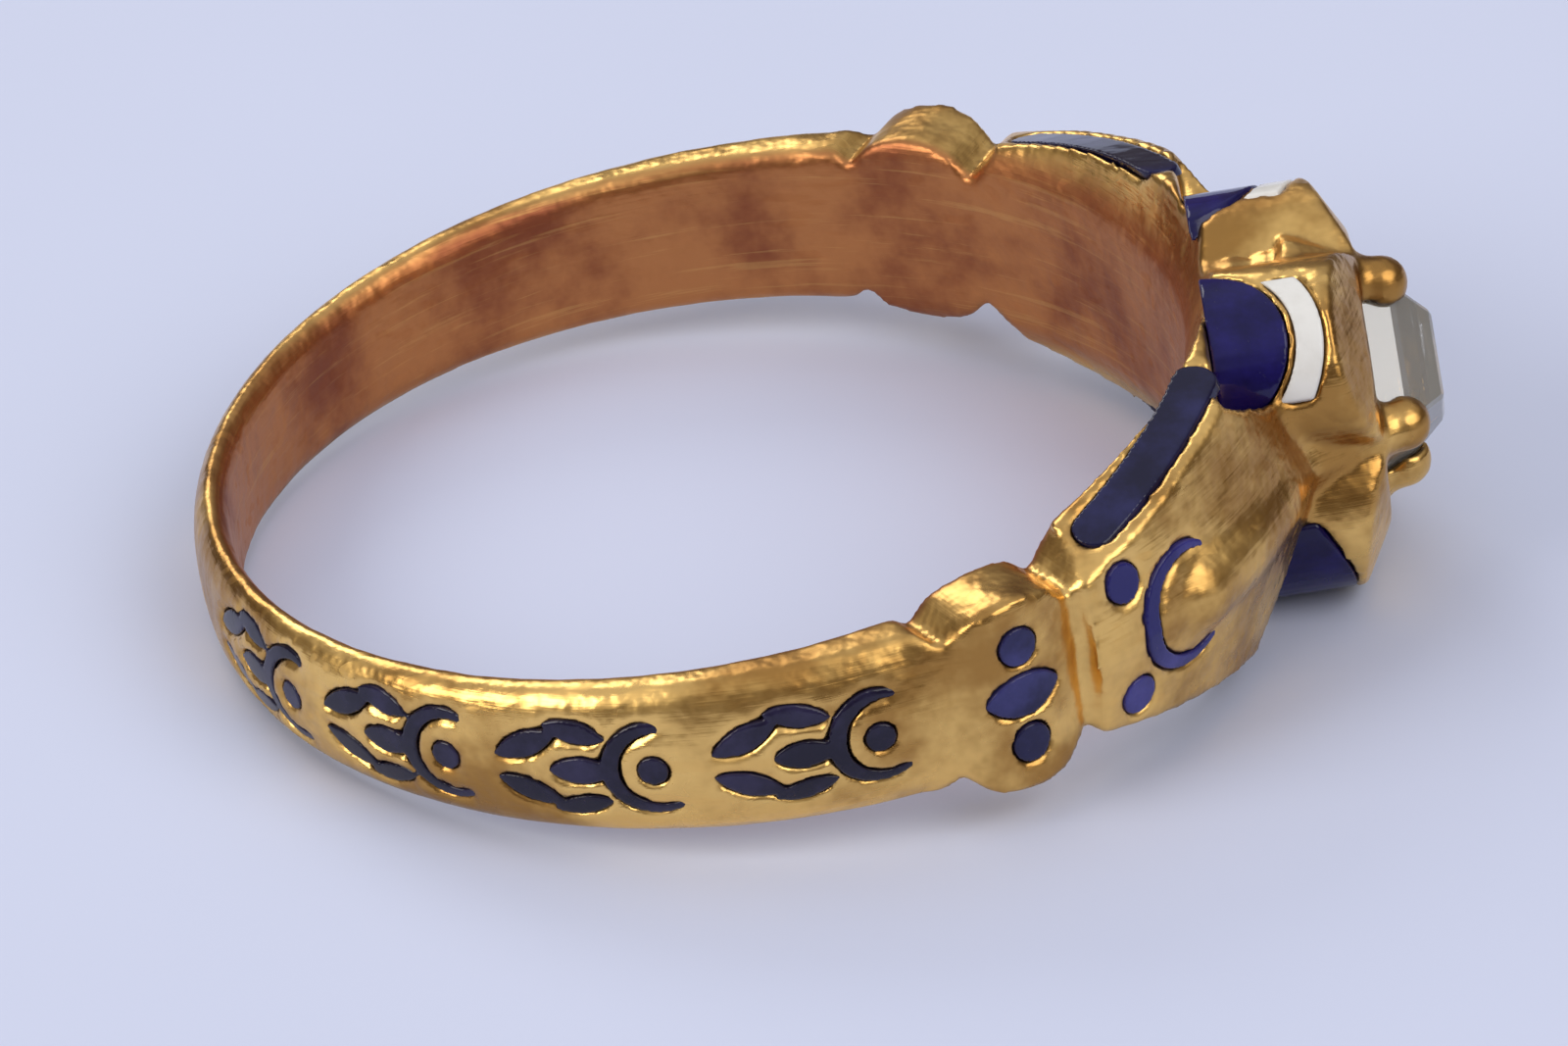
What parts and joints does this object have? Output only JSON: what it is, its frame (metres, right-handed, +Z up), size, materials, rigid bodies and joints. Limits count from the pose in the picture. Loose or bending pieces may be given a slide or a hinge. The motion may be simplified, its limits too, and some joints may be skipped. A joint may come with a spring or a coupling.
{
  "type": "diamond solitaire ring",
  "caption": "Gold finger ring with one cut diamond in a lobed box setting, rounded knops on its shoulders and blue enamel cells.",
  "frame": {"origin": "middle of the finger hole, on the hole's axis", "axes": "+X toward the head and the diamond, +Y across the hoop, +Z up from the surface that the ring lies on, so the hole's axis leans 6 degrees from +Z toward -X"},
  "size_m": [0.022, 0.0192, 0.0063],
  "materials": {
    "gold": "polished yellow gold, worn and a little tarnished inside the hoop",
    "diamond": "clear cut stone",
    "bezel_enamel": "glossy deep cobalt enamel",
    "petal_enamel": "glossy white enamel",
    "flank_enamel": "glossy navy enamel",
    "shoulder_enamel": "glossy violet-blue enamel",
    "knop_enamel": "glossy dark blue enamel",
    "hoop_enamel": "glossy blue-black enamel"
  },
  "bodies": {
    "root": {"ring_body": "gold", "diamond": "diamond", "bezel_enamel_1": "bezel_enamel", "bezel_enamel_2": "bezel_enamel", "bezel_enamel_3": "bezel_enamel", "bezel_enamel_4": "bezel_enamel", "petal_enamel_1": "petal_enamel", "petal_enamel_2": "petal_enamel", "flank_enamel_1": "flank_enamel", "flank_enamel_2": "flank_enamel", "flank_enamel_3": "flank_enamel", "flank_enamel_4": "flank_enamel", "shoulder_cells_left": "shoulder_enamel", "shoulder_cells_right": "shoulder_enamel", "knop_cells_left": "knop_enamel", "knop_cells_right": "knop_enamel", "hoop_scrolls_left": "hoop_enamel", "hoop_scrolls_right": "hoop_enamel"}
  },
  "joints": []
}
